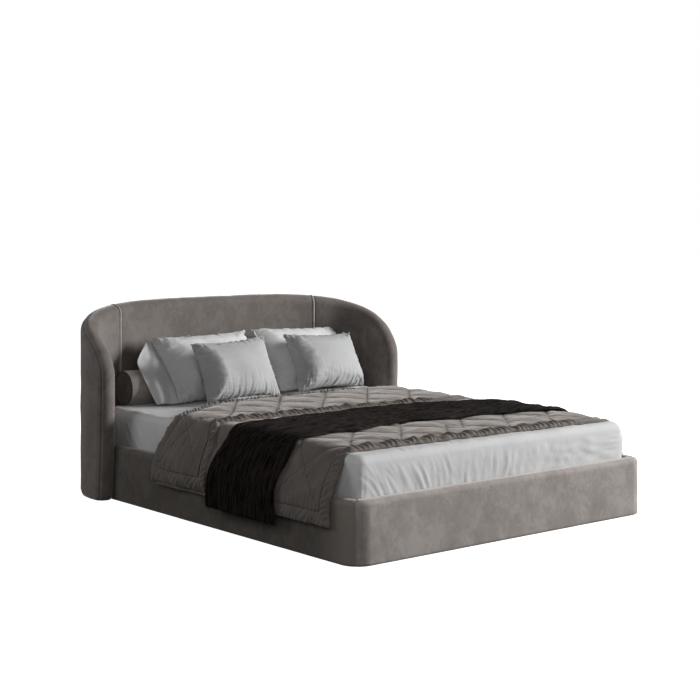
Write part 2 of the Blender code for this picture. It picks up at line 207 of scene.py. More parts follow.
def closed_sheet(top, low):
    """Points and faces of a closed sheet between two equal grids of points."""
    rows, columns = top.shape[:2]
    count = rows * columns
    faces = grid_faces(rows, columns)
    faces += [face[::-1] for face in grid_faces(rows, columns, start=count)]
    index = np.arange(count).reshape(rows, columns)
    rim = np.concatenate([index[0], index[1:, -1], index[-1, -2::-1], index[-2:0:-1, 0]])
    ahead = np.roll(rim, -1)
    faces += np.stack([ahead, rim, rim + count, ahead + count], -1).tolist()
    return np.concatenate([top.reshape(-1, 3), low.reshape(-1, 3)]), faces


# --- materials


def feed(tree, node, sockets):
    """Gives sockets a plain value or links them to another node's output."""
    for socket, value in dict(sockets).items():
        if isinstance(value, bpy.types.NodeSocket):
            tree.links.new(value, node.inputs[socket])
        else:
            node.inputs[socket].default_value = value


def add_node(tree, kind, sockets=(), **settings):
    node = tree.nodes.new(kind)
    for key, value in settings.items():
        setattr(node, key, value)
    feed(tree, node, sockets)
    return node


class Graph:
    """Short calls for building one node material."""

    def __init__(self, name, roughness, sheen=0.0, sheen_rough=0.5, metallic=0.0, specular=0.5):
        self.mat = bpy.data.materials.new(name)
        self.mat.use_nodes = True
        self.tree = self.mat.node_tree
        self.shader = self.tree.nodes["Principled BSDF"]
        self.shade({"Roughness": roughness, "Metallic": metallic, "Specular IOR Level": specular})
        self.shade({"Sheen Weight": sheen, "Sheen Roughness": sheen_rough})
        self.coords = self.node("ShaderNodeTexCoord").outputs["Object"]

    def node(self, kind, sockets=(), **settings):
        return add_node(self.tree, kind, sockets, **settings)

    def shade(self, sockets):
        feed(self.tree, self.shader, sockets)

    def noise(self, scale, detail=3.0, rough=0.55, stretch=(1, 1, 1), distortion=0.0):
        place = self.node("ShaderNodeMapping", {"Vector": self.coords, "Scale": stretch}).outputs["Vector"]
        sockets = {"Vector": place, "Scale": scale, "Detail": detail, "Roughness": rough}
        return self.node("ShaderNodeTexNoise", {**sockets, "Distortion": distortion}).outputs["Fac"]

    def ramp(self, source, *stops):
        """Colour ramp; each stop is (position, grey or colour)."""
        ramp = self.node("ShaderNodeValToRGB", {"Fac": source})
        elements = ramp.color_ramp.elements
        while len(elements) < len(stops):
            elements.new(0.5)
        for element, (place, colour) in zip(elements, stops):
            element.position = place
            element.color = (*(colour if isinstance(colour, tuple) else (colour,) * 3), 1.0)
        return ramp.outputs["Color"]

    def mix(self, factor, first, second, blend="MIX"):
        first, second = ((*value, 1.0) if isinstance(value, tuple) else value for value in (first, second))
        sockets = {0: factor, 6: first, 7: second}
        return self.node("ShaderNodeMix", sockets, data_type="RGBA", blend_type=blend).outputs[2]

    def math(self, operation, *terms):
        return self.node("ShaderNodeMath", dict(enumerate(terms)), operation=operation).outputs[0]

    def split(self, vector):
        return self.node("ShaderNodeSeparateXYZ", {0: vector}).outputs

    def fade(self, source, near, far, first=0.0, last=1.0):
        """Smooth change from `first` at `near` to `last` at `far`."""
        sockets = dict(enumerate((source, near, far, first, last)))
        return self.node("ShaderNodeMapRange", sockets, interpolation_type="SMOOTHSTEP").outputs[0]

    def finish(self, colour, rough, height, strength, distance):
        """The material, with its colour, roughness and bump linked."""
        bump = self.node("ShaderNodeBump", {"Strength": strength, "Distance": distance, "Height": height})
        self.shade({"Base Color": colour, "Roughness": rough, "Normal": bump.outputs["Normal"]})
        return self.mat


def velvet(name, dark, light, sheen=0.8, corner_light_gain=None):
    """Brushed pile with cloudy nap marks; with a gain given, painted light makes it up to that many times
    lighter toward the foot corners.
    """
    g = Graph(name, 0.80, sheen, 0.38, specular=0.12)
    g.shade({"Sheen Tint": (0.92, 0.86, 0.82, 1.0)})
    clouds = g.noise(6.5, 5.0, 0.62, (1, 1, 0.9), 0.6)
    smudge = g.noise(34.0, 4.0, 0.72, (1, 1, 0.75), 0.5)
    middle = tuple((a + b) / 2 for a, b in zip(dark, light))
    shade = g.ramp(g.math("MULTIPLY_ADD", smudge, 0.8, clouds), (0.66, dark), (0.89, middle), (1.0, light))
    # Painted light: the colour turns lighter toward the foot end, where the rounded corners face the lamp.
    if corner_light_gain is not None:
        away = g.math("ADD", g.split(g.coords)[1], g.math("MULTIPLY", clouds, 0.10))
        painted_corner_light = tuple(min(corner_light_gain * c, 0.6) for c in middle)
        shade = g.mix(g.fade(away, FOOT + 0.05, FOOT + 0.34, 1.0, 0.0), shade, painted_corner_light)
    pile = g.noise(700.0, 2.0, 0.8)
    colour = g.mix(0.35, shade, g.ramp(pile, (0.30, 0.55), (0.70, 1.0)), "MULTIPLY")
    height = g.math("ADD", pile, g.math("MULTIPLY", smudge, 1.2))
    return g.finish(colour, g.ramp(smudge, (0.3, 0.74), (0.7, 0.92)), height, 0.35, 0.0012)


def cotton(name, base, weave=900.0):
    """Plain woven cotton with fine threads and faint creases."""
    g = Graph(name, 0.88, 0.12, 0.5, specular=0.2)
    tone = g.noise(7.0, 4.0, 0.6)
    shade = g.ramp(tone, (0.35, tuple(0.90 * c for c in base)), (0.68, base))
    warp = g.noise(weave, 1.0, 0.5, (1.0, 1.0, 0.18))
    weft = g.noise(weave, 1.0, 0.5, (0.18, 1.0, 1.0))
    threads = g.math("ADD", warp, weft)
    colour = g.mix(0.22, shade, g.ramp(threads, (0.7, 0.70), (1.0, 1.0)), "MULTIPLY")
    rumple = g.noise(34.0, 5.0, 0.6, (1, 1, 1), 0.8)
    height = g.math("ADD", g.math("MULTIPLY", rumple, 0.5), g.math("MULTIPLY", threads, 0.10))
    return g.finish(colour, g.ramp(tone, (0.3, 0.82), (0.7, 0.94)), height, 0.55, 0.0024)


def quilted(name):
    """Washed quilt face: fine weave, soft rumples, sunk stitch lines with painted shade along them, and
    puckers that run into them.

    The pattern is two lattice coordinates, stitched at each whole number, and the distance to the edge.
    """
    g = Graph(name, 0.88, 0.38, 0.40, specular=0.08)
    g.shade({"Sheen Tint": (0.92, 0.87, 0.83, 1.0)})
    fields = g.node("ShaderNodeAttribute", attribute_name="pattern").outputs["Vector"]
    first, second, edge = g.split(fields)
    outside = g.math("SUBTRACT", 1.0, g.math("GREATER_THAN", edge, HEM_BAND))
    lines, puckers = [], []
    for along, across in ((first, second), (second, first)):
        off = g.math("ABSOLUTE", g.math("SUBTRACT", across, g.math("ROUND", across)))
        off = g.math("MULTIPLY", off, CELL_HEIGHT)
        lines.append(g.math("ADD", off, outside))
        wide = g.math("MULTIPLY", along, CELL_HEIGHT / 0.030)
        place = g.node("ShaderNodeCombineXYZ", {0: wide, 1: g.math("MULTIPLY", across, CELL_HEIGHT / 0.12)})
        streak = g.node("ShaderNodeTexNoise", {"Vector": place.outputs[0], "Scale": 1.0, "Detail": 2.0})
        puckers.append(g.math("MULTIPLY", streak.outputs["Fac"], g.fade(off, 0.004, 0.060, 1.0, 0.0)))
    hem = g.math("ABSOLUTE", g.math("SUBTRACT", edge, HEM_BAND))
    line = g.math("MINIMUM", hem, g.math("MINIMUM", *lines))
    groove = g.fade(line, 0.0008, 0.0050)
    # Painted shade: the colour darkens to 0.56 of itself along the sunk stitch lines and the hem line.
    stitch = g.fade(line, 0.0006, 0.0024, 0.56, 1.0)
    cloud = g.noise(9.0, 5.0, 0.6, (1, 1, 1), 0.5)
    shade = g.ramp(cloud, (0.32, (0.118, 0.102, 0.091)), (0.70, (0.158, 0.139, 0.126)))
    threads = g.noise(1000.0, 1.0, 0.5)
    shade = g.mix(0.25, shade, g.ramp(threads, (0.35, 0.62), (0.65, 1.0)), "MULTIPLY")
    colour = g.mix(1.0, shade, g.ramp(stitch, (0.0, 0.0), (1.0, 1.0)), "MULTIPLY")
    height = g.math("MULTIPLY", g.noise(48.0, 5.0, 0.62, (1, 1, 1), 1.0), 0.60)
    for relief, share in ((g.math("ADD", *puckers), 0.5), (groove, 0.5), (threads, 0.05)):
        height = g.math("ADD", height, g.math("MULTIPLY", relief, share))
    return g.finish(colour, g.ramp(cloud, (0.3, 0.78), (0.7, 0.92)), height, 0.36, 0.004)


def ribbed(name):
    """Dark knit with slubs along its ribs."""
    g = Graph(name, 0.92, 0.02, 0.5, specular=0.06)
    slub = g.noise(120.0, 3.0, 0.6, (0.10, 1.0, 0.10))
    shade = g.ramp(slub, (0.38, (0.0016, 0.0011, 0.0009)), (0.70, (0.030, 0.0215, 0.0180)))
    fuzz = g.noise(700.0, 2.0, 0.7)
    colour = g.mix(0.4, shade, g.ramp(fuzz, (0.3, 0.5), (0.7, 1.0)), "MULTIPLY")
    height = g.math("ADD", slub, g.math("MULTIPLY", fuzz, 0.3))
    return g.finish(colour, g.ramp(slub, (0.3, 0.98), (0.7, 0.85)), height, 0.7, 0.002)


def timber(name, dark, light, along):
    """Sawn wood with grain running along one axis."""
    g = Graph(name, 0.6, specular=0.35)
    stretch = tuple(0.06 if i == along else 1.0 for i in range(3))
    grain = g.noise(55.0, 5.0, 0.62, stretch, 1.2)
    colour = g.ramp(grain, (0.32, dark), (0.52, light), (0.72, tuple(0.8 * c for c in light)))
    return g.finish(colour, g.ramp(grain, (0.3, 0.5), (0.7, 0.72)), grain, 0.25, 0.0008)


def hard(name, base, roughness, metallic=0.0):
    """Coated metal or moulded plastic with a fine orange-peel surface."""
    g = Graph(name, roughness, metallic=metallic)
    speckle = g.noise(260.0, 3.0, 0.6)
    colour = g.ramp(speckle, (0.3, tuple(0.8 * c for c in base)), (0.7, base))
    rough = g.ramp(speckle, (0.3, max(roughness - 0.08, 0.05)), (0.7, min(roughness + 0.08, 1.0)))
    return g.finish(colour, rough, speckle, 0.2, 0.0005)


VELVET = velvet("velvet_taupe", (0.130, 0.113, 0.104), (0.180, 0.160, 0.148))
# Foot rail's copy of the taupe velvet, about twice as light: painted light on the foot face.
RAIL_VELVET_PAINTED_LIGHT = velvet("velvet_rail_painted_light", (0.275, 0.245, 0.226), (0.370, 0.337, 0.316), 0.5)
# Side rails' copy of the taupe velvet, darker: painted shade on the faces turned from the lamp, with painted
# light toward the foot corners.
SIDE_VELVET_PAINTED_SHADE = velvet("velvet_side_painted_shade", (0.083, 0.073, 0.064), (0.120, 0.108, 0.096), 0.4, 2.3)
# Piping painted pale: a painted highlight for the sheen along the seam ridges.
PIPING_PAINTED_HIGHLIGHT = velvet("velvet_piping_painted_highlight", (0.300, 0.275, 0.256), (0.400, 0.375, 0.355))
# Bolster ends' copy of the velvet, darker: painted shade on the ends turned from the lamp.
BOLSTER_END_PAINTED_SHADE = velvet("velvet_bolster_end_painted_shade", (0.085, 0.073, 0.065), (0.130, 0.112, 0.102), 0.4)
# Bolster body's copy of the velvet, lighter: painted light on the roll.
ROLL_VELVET_PAINTED_LIGHT = velvet("velvet_roll_painted_light", (0.260, 0.230, 0.212), (0.370, 0.335, 0.312), 0.5)
PIPING_DARK = velvet("piping_brown", (0.030, 0.026, 0.023), (0.050, 0.044, 0.040), 0.4)
SHEET_COTTON = cotton("sheet_cotton", (0.600, 0.602, 0.604))
# Cotton of the back pillows and the case flap, whiter than the sheet: painted light where they catch the
# lamp.
BACK_COTTON_PAINTED_LIGHT = cotton("pillowcase_back_painted_light", (0.660, 0.662, 0.664))
CASE_COTTON = cotton("pillowcase_cotton", (0.400, 0.402, 0.404))
QUILT_CLOTH = quilted("quilt_cloth")
THROW_KNIT = ribbed("throw_knit")
TICKING = cotton("mattress_ticking", (0.60, 0.59, 0.57))
WAYS = ("across", "along", "upright")
PLY = ((0.40, 0.28, 0.17), (0.58, 0.43, 0.27))
PLY_X, PLY_Y, PLY_Z = (timber("plywood_" + way, *PLY, axis) for axis, way in enumerate(WAYS))
BEECH = ((0.50, 0.34, 0.19), (0.68, 0.50, 0.31))
BEECH_X, BEECH_Y = (timber("beech_" + way, *BEECH, axis) for axis, way in enumerate(WAYS[:2]))
STEEL = hard("coated_steel", (0.10, 0.10, 0.105), 0.42, 0.85)
PLASTIC = hard("moulded_plastic", (0.035, 0.035, 0.037), 0.5)
FELT = cotton("felt_pad", (0.085, 0.080, 0.075), 500.0)


def finish_frame_nodes():
    """Node materials for the CAD pieces that stay as they are; the longest start of a name decides."""
    kinds = {"rail_core_foot": PLY_X, "head_cross_rail": PLY_X, "rail_core": PLY_Y, "headboard_core": PLY_Z}
    kinds |= {"corner_block": PLY_Z, "head_bracket": BEECH_X, "foot_ledger": BEECH_X, "slat": BEECH_X}
    kinds |= {"ledger": BEECH_Y, "centre": STEEL, "leg_glide": PLASTIC}
    kinds |= {"headboard_glide": FELT, "base_glide": FELT}
    for name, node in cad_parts.items():
        match = max((key for key in kinds if name.startswith(key)), key=len, default=None)
        if match is not None:
            node.data.materials.clear()
            node.data.materials.append(kinds[match])


# --- headboard


def plan_curve(inset=0.0):
    """Right half of the shell's middle line in plan, or a line `inset` inside it."""
    turn = np.linspace(0.0, pi / 2, 900)
    power = 2.0 / HEAD_PLAN_POWER
    x = (HEAD_HALF - inset) * np.sin(turn) ** power
    return x, HEAD_WING_Y + (HEAD_DEPTH - inset) * np.clip(np.cos(turn), 0.0, None) ** power


def plan_line():
    """The same line run on along the wing, with arc length and outward normals."""
    x, y = plan_curve()
    straight = np.linspace(HEAD_WING_Y, HEAD_WING_Y - 0.3, 200)[1:]
    x = np.concatenate([x, np.full(len(straight), HEAD_HALF)])
    y = np.concatenate([y, straight])
    s = run_length(x, y)
    even = np.linspace(0.0, s[-1], 1200)
    x, y = np.interp(even, s, x), np.interp(even, s, y)
    tx, ty = np.gradient(x, even), np.gradient(y, even)
    size = np.hypot(tx, ty)
    return even, x, y, -ty / size, tx / size


PLAN_S, PLAN_X, PLAN_Y, PLAN_NX, PLAN_NY = plan_line()
WING_S = float(np.interp(-HEAD_WING_Y, -PLAN_Y, PLAN_S)) + WING_REACH


def shell_points(s, z, n):
    """Points at arc length s from the centre (negative to the left), height z and outward offset n."""
    a = np.abs(s)
    x = np.interp(a, PLAN_S, PLAN_X) + n * np.interp(a, PLAN_S, PLAN_NX)
    y = np.interp(a, PLAN_S, PLAN_Y) + n * np.interp(a, PLAN_S, PLAN_NY)
    return np.stack([np.where(s < 0, -x, x), y, z], -1)


def edge_curve():
    """Right half of the shell's top and front edge, as (s, z) from the centre to the wing's bottom."""
    turn = np.linspace(0.0, pi / 2, 800)
    s = WING_S * np.sin(turn) ** (2 / EDGE_POWER_S)
    z = WING_KNEE + (HEAD_TOP - WING_KNEE) * np.clip(np.cos(turn), 0, None) ** (2 / EDGE_POWER_Z)
    low = np.linspace(WING_KNEE, HEAD_BOTTOM, 200)[1:]
    s = np.concatenate([s, WING_S - WING_SETBACK * ((WING_KNEE - low) / WING_KNEE) ** 2])
    return s, np.concatenate([z, low])


EDGE_S, EDGE_Z = edge_curve()
TOP_POINTS = 780


def top_height(s):
    """Height of the shell's top at arc length s."""
    return np.interp(np.abs(s), EDGE_S[:795], EDGE_Z[:795])


def stations(first, last=None, count=110):
    """Even points of the edge between two arc positions (or its end), with outward directions."""
    length = run_length(EDGE_S, EDGE_Z)
    start = np.interp(first, EDGE_S[:TOP_POINTS], length[:TOP_POINTS])
    end = length[-1] if last is None else np.interp(last, EDGE_S[:TOP_POINTS], length[:TOP_POINTS])
    along = np.linspace(start, end, count)
    before, after = along - 2e-3, along + 2e-3
    ds, dz = (np.interp(after, length, a) - np.interp(before, length, a) for a in (EDGE_S, EDGE_Z))
    size = np.hypot(ds, dz)
    out_s, out_z = -dz / size, ds / size
    if last is None:
        out_s[-1], out_z[-1] = 1.0, 0.0
    return np.interp(along, length, EDGE_S), np.interp(along, length, EDGE_Z), out_s, out_z


def pad_profile():
    """Inner pad's section as rows of (share of the height, offset outward, offset past the edge)."""
    w = np.linspace(0.0, 1.0, 26)
    arc = np.radians(np.linspace(0.0, SEAM_ANGLE, 26))[1:]
    rows = [(a, -SHELL, 0.0) for a in w]
    rows += [(1.0, -SHELL * cos(a), SHELL * sin(a)) for a in arc]
    rows += [(1.0, CORE_SIDE, 0.002)]
    rows += [(a, -CORE_SIDE, 0.002 * (a == 1.0)) for a in w[::-6]]
    return np.array(rows)


def cover_profile():
    """Outer cover's section, in the same rows."""
    w = np.linspace(0.0, 1.0, 20)
    arc = np.radians(np.linspace(180.0, SEAM_ANGLE + 0.6, 16))[1:]
    rows = [(a, SHELL, 0.0) for a in w]
    rows += [(1.0, -SHELL * cos(a), SHELL * sin(a)) for a in arc]
    rows += [(a, CORE_SIDE + 0.001, 0.0) for a in w[::-5]]
    return np.array(rows)


def soften(s, z, n, e):
    """Draws the section in at the seams and the floor, and lets the foam vary a little."""
    near_seam = np.exp(-np.abs(np.abs(s) - SEAM_S) / 0.007)
    angle = np.degrees(np.arctan2(e, -n))
    outer_seam = np.exp(-(((angle - SEAM_ANGLE) / 5.0) ** 2)) * (e > 0)
    floor = 0.22 * np.clip(1 - z / 0.040, 0, 1) ** 2
    foam = 0.0009 * waves(3, 0.21, s, z) + 0.0005 * waves(4, 0.07, s, z, n)
    pull = (SEAM_PULL * near_seam + 0.004 * outer_seam - foam) / SHELL + floor
    scale = np.where(np.hypot(n, e) > 0.9 * SHELL, 1 - pull, 1.0)
    return n * scale, e * scale


def panel(name, profile, side, node):
    """One upholstered layer: `side` 0 is the centre panel, -1 and 1 are the wings."""
    w, across, outward = profile.T[:, None, :]
    if side == 0:
        seam = SEAM_S - SEAM_GAP
        near = np.linspace(0, NEAR_SEAM, 14)[:-1]
        middle = np.linspace(-seam + NEAR_SEAM, seam - NEAR_SEAM, 90)
        s = np.concatenate([-seam + near, middle, seam - near[::-1]])[:, None]
        base_z = HEAD_BOTTOM + w * (top_height(s) - HEAD_BOTTOM)
        n, e = soften(s + 0 * w, base_z, across + 0 * s, outward + 0 * s)
        points = shell_points(s + 0 * n, base_z + e, n)
    else:
        start = SEAM_S + SEAM_GAP
        close = stations(start, start + NEAR_SEAM, 14)
        rest = stations(start + NEAR_SEAM)
        s, z, out_s, out_z = (np.concatenate([a[:-1], b])[:, None] for a, b in zip(close, rest))
        base_s = start + w * (s - start)
        base_z = HEAD_BOTTOM + w * (z - HEAD_BOTTOM)
        n, e = soften(base_s, base_z, across + 0 * s, outward + 0 * s)
        points = shell_points(side * (base_s + e * out_s), base_z + e * out_z, n)
    return skin(name, points, VELVET, [node])


def seam_welt(side, word):
    """Narrow piped seam over the rolled edge and down the inner face."""
    arc = np.radians(np.linspace(0.0, SEAM_ANGLE - 3, 30))[1:]
    line = [(a, -1.0, 0.0) for a in np.linspace(0.0, 1.0, 30)] + [(1.0, -cos(a), sin(a)) for a in arc]
    a, across, outward = np.array(line).T[:, :, None]
    turn = 2 * pi * np.arange(8) / 8
    radius = SHELL - 0.0040 + 0.0060 * np.cos(turn)
    z = HEAD_BOTTOM + a * (top_height(SEAM_S) - HEAD_BOTTOM) + outward * radius
    s = side * (SEAM_S + WELT_HALF * np.sin(turn)) + 0 * z
    rings = shell_points(s, z, across * radius)
    skin("shell_welt_" + word, rings, PIPING_PAINTED_HIGHLIGHT, ["seam_welt_" + word])


def headboard():
    for side, word in ((0, "centre"), (-1, "left"), (1, "right")):
        panel("shell_pad_" + word, pad_profile(), side, "headboard_pad_" + word)
        panel("shell_cover_" + word, cover_profile(), side, "headboard_cover_" + word)
        if side:
            seam_welt(side, word)


# --- base


def rail_section():
    """Padded rail section as rows of (offset inward, height, 1 on the velvet that shows)."""
    r = RAIL_EDGE_RADIUS
    turn = np.radians(np.linspace(0.0, 90.0, 12))
    points = [(0.006, BASE_BOTTOM, 0), (0.0010, BASE_BOTTOM + 0.002, 1)]
    points += [(0.0, z, 1) for z in np.linspace(BASE_BOTTOM + 0.012, RAIL_TOP - r - 0.006, 16)]
    points += [(r - r * cos(a), RAIL_TOP - r + r * sin(a), 1) for a in turn]
    points += [(RAIL_WIDTH - r + r * sin(a), RAIL_TOP - r + r * cos(a), 1) for a in turn]
    wall, core, core_top = RAIL_WIDTH - 0.0030, 0.0395, RAIL_TOP - 0.0395
    points += [(RAIL_WIDTH, 0.15, 1), (RAIL_WIDTH, 0.060, 0), (wall, 0.060, 0)]
    points += [(wall, core_top, 0), (core, core_top, 0), (core, BASE_BOTTOM, 0)]
    return np.array(points)


def rail_cover(name, plan, nodes, ends, mat):
    """Cover swept along plan points (x, y, inward x, inward y), drawn in at the seamed ends."""
    plan = np.array(plan)
    run = run_length(*plan[:, :2].T)
    pull = sum(RAIL_PULL * np.exp(-(((run - run[end]) / 0.006) ** 2)) for end in ends)[:, None]
    x, y, ix, iy = plan.T[:, :, None]
    a, z, shown = rail_section().T[:, None, :]
    foam = 0.0012 * waves(11, 0.24, x + y, z) + 0.0005 * waves(12, 0.08, x, y, z)
    inward = a + shown * (pull * np.sign(0.5 * RAIL_WIDTH - a) + foam)
    height = z - shown * (z > RAIL_TOP - 0.02) * (pull + foam)
    obj = skin(name, np.stack([x + inward * ix, y + inward * iy, height], -1), mat, nodes)


def corner_plan(side, first, last):
    """Plan points round a foot corner, between two angles."""
    a = np.radians(np.linspace(first, last, 17))
    ix, iy = -side * np.cos(a), np.sin(a)
    x = side * (BASE_HALF - PLAN_RADIUS) - PLAN_RADIUS * ix
    return [*zip(x, PLAN_RADIUS - PLAN_RADIUS * iy, ix, iy)]


def base():
    seam = 0.5
    for side, word in ((-1, "left"), (1, "right")):
        plan = [(side * BASE_HALF, y, -side, 0.0) for y in np.linspace(RAIL_END, PLAN_RADIUS, 60)[:-1]]
        plan += corner_plan(side, 0.0, 45.0 - seam)
        rail_cover("side_rail_" + word, plan, ["rail_cover_" + word], [-1], SIDE_VELVET_PAINTED_SHADE)
        corner_welt(side, word)
    across = np.linspace(-1, 1, 60)[1:-1] * (BASE_HALF - PLAN_RADIUS)
    plan = corner_plan(-1, 45.0 + seam, 90.0) + [(x, 0.0, 0.0, 1.0) for x in across]
    plan += corner_plan(1, 90.0, 45.0 + seam)
    rail_cover("foot_rail", plan, ["rail_cover_foot"], [0, -1], RAIL_VELVET_PAINTED_LIGHT)


def corner_welt(side, word):
    """Fine stitched ridge that closes the seam on the rounded corner."""
    section = rail_section()
    a, z = section[section[:, 2] > 0.5, :2].T[:, :, None]
    turn = 2 * pi * np.arange(6) / 6
    angle = radians(45.0) + 0.0013 * np.cos(turn) / PLAN_RADIUS
    reach = PLAN_RADIUS - a - 0.0030 * np.sign(0.5 * RAIL_WIDTH - a) + 0.0016 * np.sin(turn)
    x, y = side * (BASE_HALF - PLAN_RADIUS + reach * np.cos(angle)), PLAN_RADIUS - reach * np.sin(angle)
    rings = np.stack([x, y, z - 0.0030 * (z > RAIL_TOP - 0.02) + 0 * x], -1)
    skin("corner_seam_" + word, rings, PIPING_PAINTED_HIGHLIGHT, ["corner_welt_" + word])


# --- fitted sheet


def block_ring(half, y0, y1, radius, count):
    """Plan points of a rounded rectangle, closer round its corners, and their outward normals."""
    points, normals = [], []
    for cx, cy, start in ((half, y0, -90), (half, y1, 0), (-half, y1, 90), (-half, y0, 180)):
        ox, oy = cx - radius * np.sign(cx), cy + (radius if cy == y0 else -radius)
        for a in np.radians(np.linspace(start, start + 90, 24)):
            points.append((ox + radius * cos(a), oy + radius * sin(a)))
            normals.append((cos(a), sin(a)))
    points, normals = np.array(points + points[:1]), np.array(normals + normals[:1])
    run = run_length(*points.T)
    even = np.linspace(0, run[-1], 4000)
    turning = np.convolve(np.abs(normals[:, 0] * normals[:, 1]) > 1e-3, np.ones(3), "same") > 0
    weight = np.interp(even, run, 1.0 + 6.0 * turning).cumsum()
    at = np.interp(np.linspace(0, weight[-1], count, endpoint=False), weight, even)
    return [np.stack([np.interp(at, run, a[:, i]) for i in (0, 1)], -1) for a in (points, normals)]


def corner_radius(inset):
    """Plan radius of the mattress's corners on a ring set in from its sides."""
    return max(0.036 - 0.5 * inset, 0.010)


def mattress_block():
    """Sprung mattress with rounded edges and a piped seam round its top and bottom edges."""
    edge = 0.030
    low, high = MATTRESS_LOW.z + 0.0005, MATTRESS_TOP - 0.0005
    quarter = np.radians(np.linspace(0, 90, 9))
    rows = [(edge - edge * sin(a), low + edge - edge * cos(a)) for a in quarter]
    for seam in (low + edge + 0.006, high - edge - 0.006):
        rows += [(-0.0022 * sin(a), seam - 0.003 * cos(a)) for a in np.radians(np.linspace(0, 180, 7))]
    rows += [(edge - edge * cos(a), high - edge + edge * sin(a)) for a in quarter]
    rows += [(inset, high) for inset in (0.045, 0.15, 0.40)]
    rings = []
    for inset, z in rows:
        gap = 0.0025 + inset
        sides = (MATTRESS_HALF - gap, MATTRESS_FOOT + gap, MATTRESS_HEAD - gap)
        plan, normal = block_ring(*sides, corner_radius(inset), 240)
        plan += 0.0010 * waves(57, 0.12, plan.sum(1), z)[:, None] * normal
        rings.append(np.column_stack([plan, np.full(len(plan), z)]))
    skin("mattress_block", rings, TICKING, ["mattress"])


def head_infill():
    """Padded velvet infill between the mattress end and the curved headboard, gently full on top."""
    low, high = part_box("head_filler")
    half, y0 = high.x - 0.001, low.y - FOOT + 0.001
    bottom, top, r = low.z + 0.001, high.z - 0.002, 0.016
    x = np.linspace(-half, half, 90)
    back = np.minimum(np.interp(np.abs(x), *plan_curve(SHELL)), high.y - FOOT) - 0.006
    drop = 0.012 * (1 - smooth_step(half - np.abs(x), 0.0, 0.020)) ** 2
    full = 0.003 * waves(58, 0.15, x, 0 * x)
    quarter = np.radians(np.linspace(0, 90, 8))
    rise = np.linspace(bottom, top - r, 8)
    rings = []
    for x_here, y1, down, crown in zip(x, back, drop, full):
        section = [(y0, z) for z in rise]
        section += [(y0 + r - r * cos(a), top - r + r * sin(a)) for a in quarter]
        depth = y1 - y0 - 2 * r
        section += [(y0 + r + depth * t, top + crown * sin(pi * t)) for t in np.linspace(0, 1, 12)[1:-1]]
        section += [(y1 - r + r * sin(a), top - r + r * cos(a)) for a in quarter]
        section += [(y1, z) for z in rise[-2::-1]]
        rings.append([(x_here, y, z - down * (z > top - r)) for y, z in section])
    skin("head_infill", rings, VELVET, ["head_filler"])


def side_folds(along, reach, down, seed):
    """Tension folds of a face: lines fan out from its two upper corners."""
    lean = -0.95 * along / reach
    across = along - lean * down
    long_fold = waves(seed, 0.048, across, down * 0.15)
    fine = waves(seed + 1, 0.020, across, down * 0.12)
    patch = 0.5 + 0.5 * waves(seed + 2, 0.22, along, down)
    ridge = np.abs(long_fold) * 2 - 0.8
    return (0.0021 * ridge + 0.0012 * fine) * (0.45 + 0.55 * patch)


def fitted_sheet():
    """Sheet stretched over the mattress, gathered at the sides and mitred at the corners."""
    count = 900
    lift = 0.006
    half = MATTRESS_HALF + lift
    y0, y1 = MATTRESS_FOOT - lift, MATTRESS_HEAD + lift
    top = MATTRESS_TOP + lift
    edge = 0.034
    rows = [(0.0, z) for z in np.linspace(MATTRESS_LOW.z + 0.010, top - edge, 26)]
    rows += [(edge - edge * cos(a), top - edge + edge * sin(a)) for a in np.radians(np.linspace(6, 90, 12))]
    rows += [(inset, top) for inset in np.geomspace(edge * 1.15, half - 0.02, 22)]
    rings = []
    for inset, z in rows:
        plan, normal = block_ring(half - inset, y0 + inset, y1 - inset, corner_radius(inset), count)
        (x, y), (nx, ny) = plan.T, normal.T
        down = top - z
        fold = np.clip(-ny, 0, 1) ** 2 * side_folds(x, half, down, 21)
        fold += np.clip(ny, 0, 1) ** 2 * side_folds(x, half, down, 31)
        fold += nx**2 * side_folds(np.sign(x) * (y - (y0 + y1) / 2), (y1 - y0) / 2, down, 41)
        corner = (np.abs(x) > half - inset - 0.075) & (y < y0 + inset + 0.075)
        angle = np.degrees(np.arctan2(-ny, np.abs(nx) + 1e-9))
        mitre = 0.0060 * smooth_step(angle, 20, 44) * (1 - smooth_step(angle, 60, 63)) * corner
        bulge = 0.010 * np.sin(pi * np.clip(down / 0.19, 0, 1))
        push = (smooth_step(down, 0.012, 0.090) * (fold + mitre) + bulge) * (inset < edge)
        sag = 0.0016 * waves(51, 0.16, x, y) + 0.0008 * waves(52, 0.05, x, y * 0.4)
        height = z + sag * (inset > edge * 0.5)
        rings.append(np.stack([x + push * nx, y + push * ny, height], -1))
    faces = grid_faces(len(rings), count, wrap=True)
    faces.append(list(range((len(rings) - 1) * count, len(rings) * count)))
    obj = piece("bed_sheet", rings, faces, SHEET_COTTON, ["fitted_sheet"])


# --- quilt and throw


